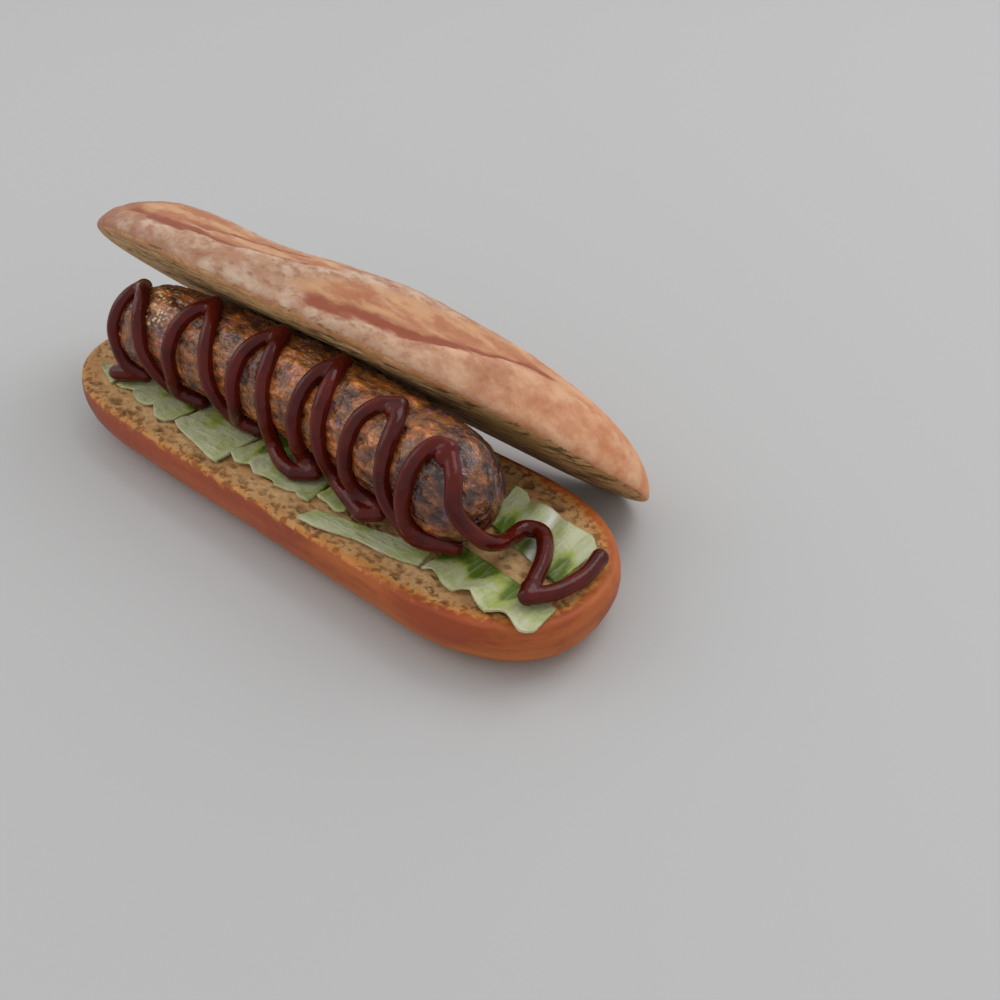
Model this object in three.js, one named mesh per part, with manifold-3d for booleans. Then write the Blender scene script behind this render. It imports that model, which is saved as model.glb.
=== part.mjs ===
// Hot dog: a long roll cut lengthwise, its lower half flat on the table and its upper half leaning
// behind it, with a browned sausage on lettuce leaves and a rope of sauce drizzled over the sausage.
// Millimetres, +Z up. The origin is the middle of the flat underside of the lower half, +X runs
// along the roll to the end where the sauce trails off, and -Y is the open side.

import * as THREE from "three";
import { mergeVertices } from "three/addons/utils/BufferGeometryUtils.js";
import Module from "manifold-3d";

// Clear gap that touching pieces keep
const GAP = 0.35;

// Lower half of the roll
const LOWER = {
  length: 200,
  width: 61.8,
  endReach: 41.9,
  endPower: 2.34,
  rimHeight: 18.1,
  beltHeight: 12.2,
  baseInset: 9.6,
  rimInset: 0.9,
  rimWidth: 2.4,
  crumbHeight: 17.8,
  lump: 0.45,
  lumpLength: 46,
  around: 72,
};

// Upper half of the roll, first with its cut face down, then tipped back on its rear edge
const UPPER = {
  length: 200.5,
  width: 62.4,
  domeHeight: 23.6,
  domeSkew: 0.16,
  domePower: 2.5,
  leftCrest: 4.6,
  rightCrest: 2.5,
  bow: 7,
  lump: 0.5,
  lumpLength: 38,
  around: 84,
  roll: THREE.MathUtils.degToRad(-47.7),
  pitch: THREE.MathUtils.degToRad(7.5),
  yaw: THREE.MathUtils.degToRad(8.5),
  middle: new THREE.Vector2(-11, 21.3),
};
const UPPER_ENDS = {
  near: { left: { reach: 52, power: 1.7 }, right: { reach: 58, power: 1.45 } },
  far: { left: { reach: 20, power: 2.3 }, right: { reach: 22, power: 2.2 } },
};

// Low rises and dips along the crown of the upper crust
const CROWN = [
  { x: -58, rise: 1, reach: 14 },
  { x: -28, rise: -1.5, reach: 12 },
  { x: 22, rise: 1.1, reach: 12 },
  { x: 60, rise: 0.5, reach: 14 },
];

// Slashes baked open in the upper crust. A raised lip runs along each line of x and turn, in degrees
// up from the rim of the open side, and the hollow lies above it, as many degrees wide.
const SLASHES = [
  { line: [[-80, 14], [-50, 18.5], [-25, 22], [-7, 30], [6, 38]], width: 46, depth: 2.6, lip: 1.4 },
  { line: [[-8, 13], [10, 10], [32, 13], [50, 25], [66, 40], [80, 52]], width: 38, depth: 2.3, lip: 1.4 },
];
const SLASH_FORM = { taperPower: 0.6, lipMiddle: -0.1, lipReach: 0.27, hollowPower: 0.7 };
const RIM_FADE = { start: 2, end: 9 };

// Sausage: a bowed rod with full round ends
const SAUSAGE = {
  start: -75.5,
  end: 70.9,
  radius: 14.6,
  endReach: 18.2,
  endPower: 2.2,
  axisHeight: 34.6,
  endsY: -6.8,
  bow: 6.9,
  lump: 0.35,
  around: 22,
  stations: 28,
};

// Sauce: its turns over the top of the sausage, and the turns at its foot. A place is given along X,
// as an angle round the sausage from its rear (90 degrees is the top, 180 the open side) and, at the
// foot, as a reach off the skin. The strand that rises to a top bulges back, the next one slants on.
const SAUCE = { radius: 2.25, lift: 0.65, sides: 6, stepLength: 3.6 };
const SAUCE_TOPS = [
  { x: -68.5, angle: 86, bulge: 1, slant: 15 },
  { x: -39.5, angle: 85, bulge: 4, slant: 13 },
  { x: -12, angle: 85, bulge: 5, slant: 8.2 },
  { x: 11.5, angle: 81, bulge: 3, slant: 7.6 },
  { x: 37.5, angle: 94, bulge: 8, slant: 7.4 },
  { x: 58.5, angle: 102, bulge: 6, slant: 8.5 },
];
const SAUCE_FEET = [
  [[-63, 230, 0.9], [-67, 214, 1.2]],
  [[-47, 226, 1.2], [-39.5, 231, 1.4], [-45.6, 220, 0.9]],
  [[-21.5, 223, 1.2], [-14.4, 229, 1], [-20, 220, 0.8]],
  [[-3.6, 216, 2.2], [3, 216.5, 5.6], [8, 217, 6.2], [13.6, 220.5, 3], [9, 217, 1.2]],
  [[21.5, 215, 1.2], [29.5, 215, 3.6], [36, 216, 4.9], [40, 220, 2], [32.5, 216, 1]],
  [[49.5, 204, 0.6], [55, 216, 1.6], [63, 238, 0.4], [54.4, 209, 0.6]],
];
// The turn in each foot's list where it bends sharply, and the angles that a strand passes
const FOOT_TIP = [0, 1, 1, 2, 2, 2];
const STRAND_DOWN = [
  { share: 0.42, angle: 110 },
  { share: 0.74, angle: 142 },
  { share: 1, angle: 178 },
];
const STRAND_UP = [
  { share: 1, angle: 190 },
  { share: 1, angle: 160 },
  { share: 0.95, angle: 130 },
  { share: 0.6, angle: 107 },
];

// The sauce's small curl on the crumb at the start, and its tail over the lettuce to the rim
const CURL = { x: -72.4, y: -17.9, height: 21.6, radius: 1.2, turns: 0.6, points: 4 };
const TAIL_START = [[64.1, 126], [66.1, 150], [68.1, 170]];
const TAIL = [
  [72.8, -12.6, 31],
  [73.6, -6.5, 26.4],
  [72.4, -0.5, 23.6],
  [72.6, 4.6, 22.9],
  [76.6, 6.2, 22.9],
  [80.8, 2.6, 22.9],
  [84, -2.8, 22.9],
  [86, -8, 22.9],
];
const TAIL_CORNER = [88.2, -14, 22.7];
const TAIL_END = [
  [91.6, -9.4, 22.3],
  [93.4, -3.4, 21.8],
  [93.8, 3.2, 21.3],
  [92.8, 9.6, 21.1],
];

// Lettuce leaves. A leaf runs along X from x0 to x1 and across from its inner to its outer edge.
// Edges are given at both ends, scallop is the outer edge's waves, and ruffle the height of the folds.
const LEAF = {
  thickness: 0.7,
  cellAlong: 2.8,
  cellAcross: 3.5,
  tallest: 8,
  sauceMargin: 2.3,
  endCut: 0.05,
  endCutPower: 6,
  taper: 0.06,
  foldLean: 1.2,
  foldPower: 1.3,
};
const LEAVES = {
  lettuce_left_tip: {
    x0: -83.5, x1: -73.2, inner: [-15.4, -12], outer: [-17.6, -22],
    scallop: 0.3, waves: 1, ruffle: 1.2, folds: 1.2, phase: 0.4, raise: 0.3,
  },
  lettuce_left: {
    x0: -71.5, x1: -40.6, inner: [-11, -4], outer: [-19.6, -23.6],
    scallop: 1.6, waves: 2.5, ruffle: 2.6, folds: 2.6, phase: 1.1, raise: 0.2,
  },
  lettuce_flat: {
    x0: -39.8, x1: -14.6, inner: [-7, -5], outer: [-22.4, -27.4],
    scallop: 0.25, waves: 1, ruffle: 0.9, folds: 1, phase: 1.9, raise: 0.9,
  },
  lettuce_wavy: {
    x0: -13.9, x1: 17.4, inner: [-5, -4], outer: [-22.4, -21.4],
    scallop: 1.2, waves: 3.4, ruffle: 2.4, folds: 3.6, phase: 0.2, raise: 0.3,
  },
  lettuce_small: {
    x0: 18.2, x1: 29.4, inner: [-3, -3], outer: [-18.6, -19.6],
    scallop: 0.5, waves: 1.4, ruffle: 1.6, folds: 1.5, phase: 2.4, raise: 0.4,
  },
  lettuce_blade: {
    x0: 20.4, x1: 58, inner: [-21.8, -12.9], outer: [-27.8, -20.6],
    scallop: 0.5, waves: 1.5, ruffle: 0.9, folds: 1.5, phase: 0.8, raise: 0.2,
  },
  lettuce_fold: {
    x0: 33.4, x1: 48, inner: [-4, -4], outer: [-12.6, -11.4],
    scallop: 0.5, waves: 1.5, ruffle: 1.6, folds: 2, phase: 1.4, raise: 0.3,
  },
  lettuce_ruffled: {
    x0: 59, x1: 95, inner: [-7, -9.6], outer: [-21, -20.6],
    scallop: 1.3, waves: 3, ruffle: 3.4, folds: 3.2, phase: 3.4, raise: 0.3,
  },
  lettuce_back: {
    x0: 58.5, x1: 89.5, inner: [4.6, -3], outer: [18.4, 15.4],
    scallop: 1.4, waves: 2.6, ruffle: 2.6, folds: 3, phase: 0.3, raise: 0.3,
  },
};

const MATERIALS = {
  crust: new THREE.MeshStandardMaterial({ color: 0xb4733f, roughness: 0.75 }),
  paleCrust: new THREE.MeshStandardMaterial({ color: 0xc79a78, roughness: 0.8 }),
  sausage: new THREE.MeshStandardMaterial({ color: 0x6b3a1f, roughness: 0.45 }),
  lettuce: new THREE.MeshStandardMaterial({ color: 0xa9bf7c, roughness: 0.6 }),
};

const wasm = await Module();
wasm.setup();

// A geometry with shared corners, no flat triangles, and its faces pointing out
function closed(geometry) {
  geometry.deleteAttribute("normal");
  geometry.deleteAttribute("uv");
  const merged = mergeVertices(geometry, 1e-4);
  const old = merged.index.array;
  const kept = [];
  for (let i = 0; i < old.length; i += 3) {
    const [a, b, c] = [old[i], old[i + 1], old[i + 2]];
    if (a !== b && b !== c && c !== a) kept.push(a, b, c);
  }
  if (volume(merged.attributes.position, kept) < 0) kept.reverse();
  merged.setIndex(kept);
  return merged;
}

function volume(spots, index) {
  const [a, b, c] = [new THREE.Vector3(), new THREE.Vector3(), new THREE.Vector3()];
  let sum = 0;
  for (let i = 0; i < index.length; i += 3) {
    a.fromBufferAttribute(spots, index[i]);
    b.fromBufferAttribute(spots, index[i + 1]);
    c.fromBufferAttribute(spots, index[i + 2]);
    sum += a.dot(b.cross(c)) / 6;
  }
  return sum;
}

function solid(geometry) {
  const vertProperties = new Float32Array(geometry.attributes.position.array);
  const triVerts = new Uint32Array(geometry.index.array);
  return new wasm.Manifold(new wasm.Mesh({ numProp: 3, vertProperties, triVerts }));
}

// The outer skin of a joined solid: hollows that the joining sealed are filled, loose scraps dropped
function fromSolid(body) {
  const skins = body.decompose().sort((a, b) => b.volume() - a.volume());
  const mesh = skins[0].getMesh();
  const geometry = new THREE.BufferGeometry();
  geometry.setAttribute("position", new THREE.BufferAttribute(mesh.vertProperties, 3));
  geometry.setIndex(new THREE.BufferAttribute(mesh.triVerts, 1));
  return geometry;
}

// Slow, irregular swell of a baked or grilled surface, between about -1 and 1
function swell(x, y, z, wavelength) {
  const k = (2 * Math.PI) / wavelength;
  const first = Math.sin(k * x + 0.7 * Math.sin(k * 0.61 * y + 1.3));
  const second = Math.sin(k * 0.83 * y - 0.4 * k * x + 2.1);
  const third = Math.sin(k * 0.91 * z + 0.37 * k * x + 0.5);
  return (first + second + third) / 3;
}

function superArc(part, power) {
  return (1 - Math.min(Math.max(part, 0), 1) ** power) ** (1 / power);
}

// Half width at x of one side of a long outline, with its own rounding at each end
function halfWidthAt(x, size, ends) {
  const end = x < 0 ? ends.left : ends.right;
  const past = (Math.abs(x) - (size.length / 2 - end.reach)) / end.reach;
  return (size.width / 2) * superArc(past, end.power);
}

// Evenly spaced points around an outline, from its left end along the near side
function outlineOf(size, near, far) {
  const fine = 90;
  const points = [];
  for (let i = 0; i < 2 * fine; i++) {
    const x = (-size.length / 2) * Math.cos((Math.PI * i) / fine);
    const y = i < fine ? -halfWidthAt(x, size, near) : halfWidthAt(x, size, far);
    points.push(new THREE.Vector3(x, y, 0));
  }
  const curve = new THREE.CatmullRomCurve3(points, true);
  return curve.getSpacedPoints(size.around).slice(0, size.around);
}

// A closed skin over rows of rings: place gives the corner for a row and an outline point
function loft(rows, outline, place) {
  const profile = rows.map((row, j) => new THREE.Vector2(1, j));
  const geometry = new THREE.LatheGeometry(profile, outline.length);
  const spots = geometry.attributes.position;
  for (let i = 0; i <= outline.length; i++) {
    const edge = outline[i % outline.length];
    rows.forEach((row, j) => {
      const corner = place(row, edge);
      spots.setXYZ(i * rows.length + j, corner.x, corner.y, corner.z);
    });
  }
  return closed(geometry);
}

function lowerHalf() {
  const ends = { left: { reach: LOWER.endReach, power: LOWER.endPower } };
  ends.right = ends.left;
  const outline = outlineOf(LOWER, ends, ends);
  const rows = [];
  for (const share of [0, 0.5]) rows.push({ share, inset: LOWER.baseInset, z: 0, lump: 0 });
  const lowerRows = 6;
  for (let j = 0; j <= lowerRows; j++) {
    const turn = (Math.PI / 2) * (j / lowerRows);
    const inset = LOWER.baseInset * (1 - Math.sin(turn));
    rows.push({ share: 1, inset, z: LOWER.beltHeight * (1 - Math.cos(turn)), lump: Math.sin(turn) });
  }
  const upperRows = 3;
  for (let j = 1; j <= upperRows; j++) {
    const part = j / upperRows;
    const z = LOWER.beltHeight + (LOWER.rimHeight - LOWER.beltHeight) * part;
    rows.push({ share: 1, inset: LOWER.rimInset * part ** 2, z, lump: 1 - 0.5 * part });
  }
  rows.push({ share: 1, inset: LOWER.rimWidth, z: LOWER.crumbHeight, lump: 0.5 });
  for (const share of [0.6, 0.25, 0]) {
    rows.push({ share, inset: LOWER.rimWidth, z: LOWER.crumbHeight, lump: 0 });
  }
  return loft(rows, outline, (row, edge) => {
    const lump = LOWER.lump * row.lump * swell(edge.x, edge.y, row.z * 2, LOWER.lumpLength);
    const inset = row.inset - lump;
    return {
      x: row.share * edge.x * (1 - inset / (LOWER.length / 2)),
      y: row.share * edge.y * (1 - inset / (LOWER.width / 2)),
      z: row.z,
    };
  });
}

// Height of the upper crust over its cut face along its crown
function crownAt(x) {
  const part = x / (UPPER.length / 2);
  const power = part < 0 ? UPPER.leftCrest : UPPER.rightCrest;
  const taper = superArc(Math.abs(part), power) ** (power / 2);
  let height = UPPER.domeHeight * (1 + UPPER.domeSkew * part);
  for (const wave of CROWN) height += wave.rise * Math.exp(-(((x - wave.x) / wave.reach) ** 2));
  return taper * height;
}

// Height of the upper crust over its cut face, before the slashes
function domeAt(x, y) {
  const ends = y < 0 ? UPPER_ENDS.near : UPPER_ENDS.far;
  const narrowest = 0.01;
  const half = Math.max(halfWidthAt(x, UPPER, ends), narrowest);
  return crownAt(x) * superArc(Math.abs(y) / half, UPPER.domePower);
}

// The turn of a line of [x, turn] pairs at x
function turnAt(line, x) {
  let i = 0;
  while (i < line.length - 2 && x > line[i + 1][0]) i++;
  return THREE.MathUtils.mapLinear(x, line[i][0], line[i + 1][0], line[i][1], line[i + 1][1]);
}

// Relief of one slash: a lens-shaped hollow above a raised lip, at x and a turn round the loaf
function slashAt(x, turn, slash) {
  const start = slash.line[0][0];
  const end = slash.line[slash.line.length - 1][0];
  if (x <= start || x >= end) return 0;
  const along = THREE.MathUtils.mapLinear(x, start, end, -1, 1);
  const taper = (1 - along ** 2) ** SLASH_FORM.taperPower;
  const part = (turn - turnAt(slash.line, x)) / (slash.width * taper);
  const lip = Math.exp(-(((part - SLASH_FORM.lipMiddle) / SLASH_FORM.lipReach) ** 2));
  const hollow = part > 0 && part < 1 ? Math.sin(Math.PI * part ** SLASH_FORM.hollowPower) : 0;
  return taper * (slash.lip * lip - slash.depth * hollow);
}

function upperHalf() {
  const outline = outlineOf(UPPER, UPPER_ENDS.near, UPPER_ENDS.far);
  const crustRows = 12;
  const rows = [{ share: 0, cut: true }, { share: 0.5, cut: true }];
  for (let j = 0; j < crustRows; j++) {
    const share = Math.cos((Math.PI / 2) * (j / crustRows)) ** (2 / UPPER.domePower);
    rows.push({ share, cut: false });
  }
  rows.push({ share: 0, cut: false });
  return loft(rows, outline, (row, edge) => {
    const spot = new THREE.Vector3(row.share * edge.x, row.share * edge.y, 0);
    if (!row.cut) {
      const z = row.share < 1 ? domeAt(spot.x, spot.y) : 0;
      const turn = Math.atan2(z, -spot.y);
      const degrees = THREE.MathUtils.radToDeg(turn);
      const relief = SLASHES.reduce((sum, slash) => sum + slashAt(spot.x, degrees, slash), 0);
      const offRim = Math.min(degrees, 180 - degrees);
      const fade = THREE.MathUtils.smoothstep(offRim, RIM_FADE.start, RIM_FADE.end);
      const push = fade * (relief + UPPER.lump * swell(spot.x, spot.y, 0, UPPER.lumpLength));
      spot.y -= push * Math.cos(turn);
      spot.z = Math.max(z + push * Math.sin(turn), 0);
    }
    spot.y += UPPER.bow * ((spot.x / (UPPER.length / 2)) ** 2 - 0.5);
    return spot;
  });
}

// Local radius, bowed centre line and skin point of the sausage
function sausageRadius(x) {
  const middle = (SAUSAGE.start + SAUSAGE.end) / 2;
  const half = (SAUSAGE.end - SAUSAGE.start) / 2;
  const past = (Math.abs(x - middle) - (half - SAUSAGE.endReach)) / SAUSAGE.endReach;
  return SAUSAGE.radius * superArc(past, SAUSAGE.endPower);
}

function sausageCentreY(x) {
  const middle = (SAUSAGE.start + SAUSAGE.end) / 2;
  const half = (SAUSAGE.end - SAUSAGE.start) / 2;
  return SAUSAGE.endsY + SAUSAGE.bow * (1 - ((x - middle) / half) ** 2);
}

function sausagePoint(x, degrees, lift) {
  const angle = THREE.MathUtils.degToRad(degrees);
  const step = 0.5;
  const slope = (sausageRadius(x - step) - sausageRadius(x + step)) / (2 * step);
  const outward = new THREE.Vector3(slope, Math.cos(angle), Math.sin(angle)).normalize();
  const radius = sausageRadius(x);
  const skin = new THREE.Vector3(
    x,
    sausageCentreY(x) + radius * Math.cos(angle),
    SAUSAGE.axisHeight + radius * Math.sin(angle),
  );
  return skin.addScaledVector(outward, lift);
}

function sausageRod() {
  const middle = (SAUSAGE.start + SAUSAGE.end) / 2;
  const half = (SAUSAGE.end - SAUSAGE.start) / 2;
  const profile = [];
  for (let i = 0; i <= SAUSAGE.stations; i++) {
    const share = i / SAUSAGE.stations;
    const spread = 0.72 * (2 * share - 1) + 0.28 * Math.sin(Math.PI * (share - 0.5));
    const x = middle + half * spread;
    profile.push(new THREE.Vector2(i % SAUSAGE.stations === 0 ? 0 : sausageRadius(x), x));
  }
  const geometry = new THREE.LatheGeometry(profile, SAUSAGE.around);
  const spots = geometry.attributes.position;
  for (let i = 0; i < spots.count; i++) {
    const [across, x, up] = [spots.getX(i), spots.getY(i), spots.getZ(i)];
    const radius = Math.hypot(across, up);
    const lump = SAUSAGE.lump * (radius / SAUSAGE.radius);
    const grow = 1 + (lump * swell(x, across, up, 21)) / SAUSAGE.radius;
    spots.setXYZ(i, x, sausageCentreY(x) + across * grow, SAUSAGE.axisHeight + up * grow);
  }
  return closed(geometry);
}

// The sauce's route as stretches that bend gently; sharp turns fall between two stretches
function sauceStretches() {
  const curl = [];
  for (let i = 0; i < CURL.points; i++) {
    const turn = 2 * Math.PI * CURL.turns * (i / (CURL.points - 1)) + 0.4;
    const x = CURL.x + CURL.radius * Math.cos(turn);
    curl.push(new THREE.Vector3(x, CURL.y + CURL.radius * Math.sin(turn), CURL.height));
  }
  const spare = 0.3;
  const lowest = LOWER.crumbHeight + 2 * GAP + LEAF.thickness + SAUCE.radius + spare;
  const feet = SAUCE_FEET.map((foot) =>
    foot.map(([x, angle, reach]) => {
      const spot = sausagePoint(x, angle, SAUCE.lift + reach);
      return spot.setZ(Math.max(spot.z, lowest));
    }),
  );
  const stretches = [[...curl, feet[0][0]]];
  const over = (x, angle) => sausagePoint(x, angle, SAUCE.lift);
  SAUCE_TOPS.forEach((top, i) => {
    const rise = STRAND_UP.map((step) => over(top.x - step.share * top.bulge, step.angle));
    const crown = over(top.x, top.angle);
    stretches.push([...feet[i].slice(FOOT_TIP[i]), ...rise, crown]);
    if (i + 1 === feet.length) return;
    const fall = STRAND_DOWN.map((step) => over(top.x + step.share * top.slant, step.angle));
    stretches.push([crown, ...fall, ...feet[i + 1].slice(0, FOOT_TIP[i + 1] + 1)]);
  });
  const last = SAUCE_TOPS[SAUCE_TOPS.length - 1];
  const corner = new THREE.Vector3(...TAIL_CORNER);
  const leave = [over(last.x, last.angle), ...TAIL_START.map(([x, angle]) => over(x, angle))];
  stretches.push([...leave, ...TAIL.map((spot) => new THREE.Vector3(...spot)), corner]);
  stretches.push([corner, ...TAIL_END.map((spot) => new THREE.Vector3(...spot))]);
  return stretches.map((points) => new THREE.CatmullRomCurve3(points));
}

const STRETCHES = sauceStretches();

function sauceSolids() {
  const section = new THREE.Shape();
  section.absarc(0, 0, SAUCE.radius, 0, 2 * Math.PI);
  const solids = [];
  for (const curve of STRETCHES) {
    const settings = {
      steps: Math.ceil(curve.getLength() / SAUCE.stepLength),
      extrudePath: curve,
      bevelEnabled: false,
      curveSegments: SAUCE.sides / 2,
    };
    solids.push(solid(closed(new THREE.ExtrudeGeometry(section, settings))));
  }
  const ends = [STRETCHES[0].getPoint(0), ...STRETCHES.map((curve) => curve.getPoint(1))];
  for (const end of ends) {
    const drop = new THREE.SphereGeometry(SAUCE.radius, SAUCE.sides, SAUCE.sides - 1);
    drop.translate(end.x, end.y, end.z);
    solids.push(solid(closed(drop)));
  }
  return solids;
}

function sausageWithSauce() {
  const joined = sauceSolids().reduce((body, piece) => body.add(piece), solid(sausageRod()));
  return fromSolid(joined);
}

const SAUCE_SPOTS = STRETCHES.flatMap((curve) => {
  const spacing = 1.5;
  return curve.getSpacedPoints(Math.ceil(curve.getLength() / spacing));
});

// Highest that a leaf may reach at a spot, below the sausage and below the sauce that lies on it
function headroomAt(x, y) {
  let limit = LOWER.rimHeight + LEAF.tallest;
  const radius = sausageRadius(x) + SAUSAGE.lump + GAP;
  const aside = Math.abs(y - sausageCentreY(x));
  if (aside < radius) {
    limit = Math.min(limit, SAUSAGE.axisHeight - Math.sqrt(radius ** 2 - aside ** 2));
  }
  const reach = SAUCE.radius + LEAF.sauceMargin;
  for (const spot of SAUCE_SPOTS) {
    const beyond = Math.max(0, Math.hypot(spot.x - x, spot.y - y) - reach);
    limit = Math.min(limit, spot.z - SAUCE.radius - GAP + beyond);
  }
  return limit;
}

// A leaf as a thin solid: one wavy face, the same face again below it, and a wall around both
function leaf(shape) {
  const across = Math.max(...shape.outer.map((edge, i) => Math.abs(edge - shape.inner[i])));
  const columns = Math.round((shape.x1 - shape.x0) / LEAF.cellAlong);
  const lines = Math.max(3, Math.round(across / LEAF.cellAcross));
  const sheet = new THREE.PlaneGeometry(1, 1, columns, lines);
  sheet.deleteAttribute("normal");
  sheet.deleteAttribute("uv");
  const spots = sheet.attributes.position;
  const floor = LOWER.crumbHeight + GAP + LEAF.thickness;
  const corners = [];
  for (let i = 0; i < spots.count; i++) {
    const u = spots.getX(i) + 0.5;
    const v = 0.5 - spots.getY(i);
    const wave = 2 * Math.PI * u;
    const inner = THREE.MathUtils.lerp(shape.inner[0], shape.inner[1], u);
    const outer = THREE.MathUtils.lerp(shape.outer[0], shape.outer[1], u);
    const outward = Math.sign(outer - inner);
    const edge = outer + outward * shape.scallop * Math.sin(wave * shape.waves + shape.phase);
    const rounding = 1 - LEAF.endCut * Math.abs(2 * u - 1) ** LEAF.endCutPower;
    const spread = 1 - LEAF.taper * (1 - v);
    const x = THREE.MathUtils.lerp(shape.x0, shape.x1, 0.5 + (u - 0.5) * spread);
    const y = inner + (edge - inner) * v * rounding;
    const fold = 0.5 + 0.5 * Math.sin(wave * shape.folds + shape.phase + LEAF.foldLean * v);
    const rise = shape.raise * v + shape.ruffle * fold * v ** LEAF.foldPower;
    corners.push(x, y, Math.max(floor, Math.min(floor + rise, headroomAt(x, y))));
  }
  for (let i = 0; i < spots.count; i++) {
    corners.push(corners[3 * i], corners[3 * i + 1], corners[3 * i + 2] - LEAF.thickness);
  }
  const top = Array.from(sheet.index.array);
  const index = [...top];
  for (let i = 0; i < top.length; i += 3) {
    index.push(top[i] + spots.count, top[i + 2] + spots.count, top[i + 1] + spots.count);
  }
  const rim = [];
  for (let i = 0; i < columns; i++) rim.push(i);
  for (let j = 0; j < lines; j++) rim.push(j * (columns + 1) + columns);
  for (let i = columns; i > 0; i--) rim.push(lines * (columns + 1) + i);
  for (let j = lines; j > 0; j--) rim.push(j * (columns + 1));
  rim.forEach((a, i) => {
    const b = rim[(i + 1) % rim.length];
    index.push(a, b, b + spots.count, a, b + spots.count, a + spots.count);
  });
  const geometry = new THREE.BufferGeometry();
  geometry.setAttribute("position", new THREE.Float32BufferAttribute(corners, 3));
  geometry.setIndex(index);
  return closed(geometry);
}

function piece(name, geometry, material) {
  const mesh = new THREE.Mesh(geometry, material);
  mesh.name = name;
  return mesh;
}

const hotDog = new THREE.Group();
hotDog.add(piece("bottom_bread", lowerHalf(), MATERIALS.crust));
hotDog.add(piece("sausage", sausageWithSauce(), MATERIALS.sausage));
for (const [name, shape] of Object.entries(LEAVES)) {
  hotDog.add(piece(name, leaf(shape), MATERIALS.lettuce));
}

// The upper half is tipped back and let down until its rear edge rests on the table
const topBread = piece("top_bread", upperHalf(), MATERIALS.paleCrust);
topBread.rotation.set(UPPER.roll, UPPER.pitch, UPPER.yaw, "ZYX");
topBread.position.set(UPPER.middle.x, UPPER.middle.y, 0);
topBread.updateMatrixWorld();
const resting = new THREE.Box3().setFromObject(topBread, true);
topBread.position.z = -resting.min.z;
hotDog.add(topBread);

export default hotDog;
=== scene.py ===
import math

import bmesh
import bpy
from mathutils import Euler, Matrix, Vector, noise
from mathutils.kdtree import KDTree


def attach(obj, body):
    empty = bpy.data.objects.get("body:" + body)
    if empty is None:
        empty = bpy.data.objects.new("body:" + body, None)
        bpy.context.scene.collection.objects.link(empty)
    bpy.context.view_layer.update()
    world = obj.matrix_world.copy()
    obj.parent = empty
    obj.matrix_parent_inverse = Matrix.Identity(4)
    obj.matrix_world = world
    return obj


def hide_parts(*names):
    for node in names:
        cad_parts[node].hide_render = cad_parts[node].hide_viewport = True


bl_info = {
    "name": "Hot dog",
    "version": (1, 0, 0),
    "blender": (4, 5, 0),
    "location": "3D View > Sidebar > Hot Dog",
    "description": "Dresses the packed hot dog: cut roll, browned sausage, sauce and lettuce",
    "category": "Object",
}

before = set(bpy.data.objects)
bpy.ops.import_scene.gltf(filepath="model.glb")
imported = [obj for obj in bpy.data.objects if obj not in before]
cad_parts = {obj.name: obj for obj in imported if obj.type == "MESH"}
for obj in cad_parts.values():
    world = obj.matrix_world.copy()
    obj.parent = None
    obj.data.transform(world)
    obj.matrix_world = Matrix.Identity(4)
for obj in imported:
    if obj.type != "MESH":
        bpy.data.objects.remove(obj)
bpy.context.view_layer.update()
MM = 0.001

# The solids' own sizes, in millimetres, repeated where a finer piece has to follow them
RIM_HEIGHT = 18.1
RIM_CORNERS = 84
ROLL_LENGTH = 200.5
ROLL_WIDTH_SHARE = 0.31
ROLL_BOW = 7
ROLL_TURN = Euler((math.radians(-47.7), math.radians(7.5), math.radians(8.5)), "XYZ")
ROLL_MIDDLE = Vector((-11, 21.3, 0))
# Each slash's line of x and turn, and the width of its hollow in degrees
SLASHES = (
    {"line": ((-80, 14), (-50, 18.5), (-25, 22), (-7, 30), (6, 38)), "width": 46},
    {"line": ((-8, 13), (10, 10), (32, 13), (50, 25), (66, 40), (80, 52)), "width": 38},
)
# Red-brown strokes along the slashes: line of x and turn, reach below and above it in degrees, strength
STROKES = (
    (((-80, 27), (-71, 24), (-59, 17.5), (-47, 19), (-31, 23.5), (-18, 28), (-2, 37)), 3, 4.5, 1.0),
    (((-54, 29), (-42, 32), (-35, 42), (-22, 51), (-8, 52)), 3.5, 4, 0.8),
    (((-4, 14), (8, 12), (17, 14), (27, 16.5), (36, 18.5), (45, 22), (52, 28), (60, 46), (72, 56)),
     3.5, 5.5, 1.0),
)
SAUSAGE = {
    "start": -75.5, "end": 70.9, "radius": 14.6, "end_reach": 18.2, "end_power": 2.2,
    "axis_height": 34.6, "ends_y": -6.8, "bow": 6.9,
}
SAUSAGE_MIDDLE = (SAUSAGE["start"] + SAUSAGE["end"]) / 2
SAUSAGE_HALF = (SAUSAGE["end"] - SAUSAGE["start"]) / 2
# Middle of the patch of pale specks on the sausage
PALE_SPECK_PATCH = (-57, -10, 48.5)
# The rope of sauce: how far its middle lies over the skin, and its lowest middle
SAUCE_LIFT = 0.65
SAUCE_LOWEST = 21.75
# The top of each loop: x, turn around the sausage in degrees, bulge of its rising strand to the left
# and slant of its falling strand to the right
SAUCE_TOPS = (
    (-68.5, 86, 1, 15), (-39.5, 85, 4, 13), (-12, 85, 5, 8.2),
    (11.5, 81, 3, 7.6), (37.5, 94, 8, 7.4), (58.5, 102, 6, 8.5),
)
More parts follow.
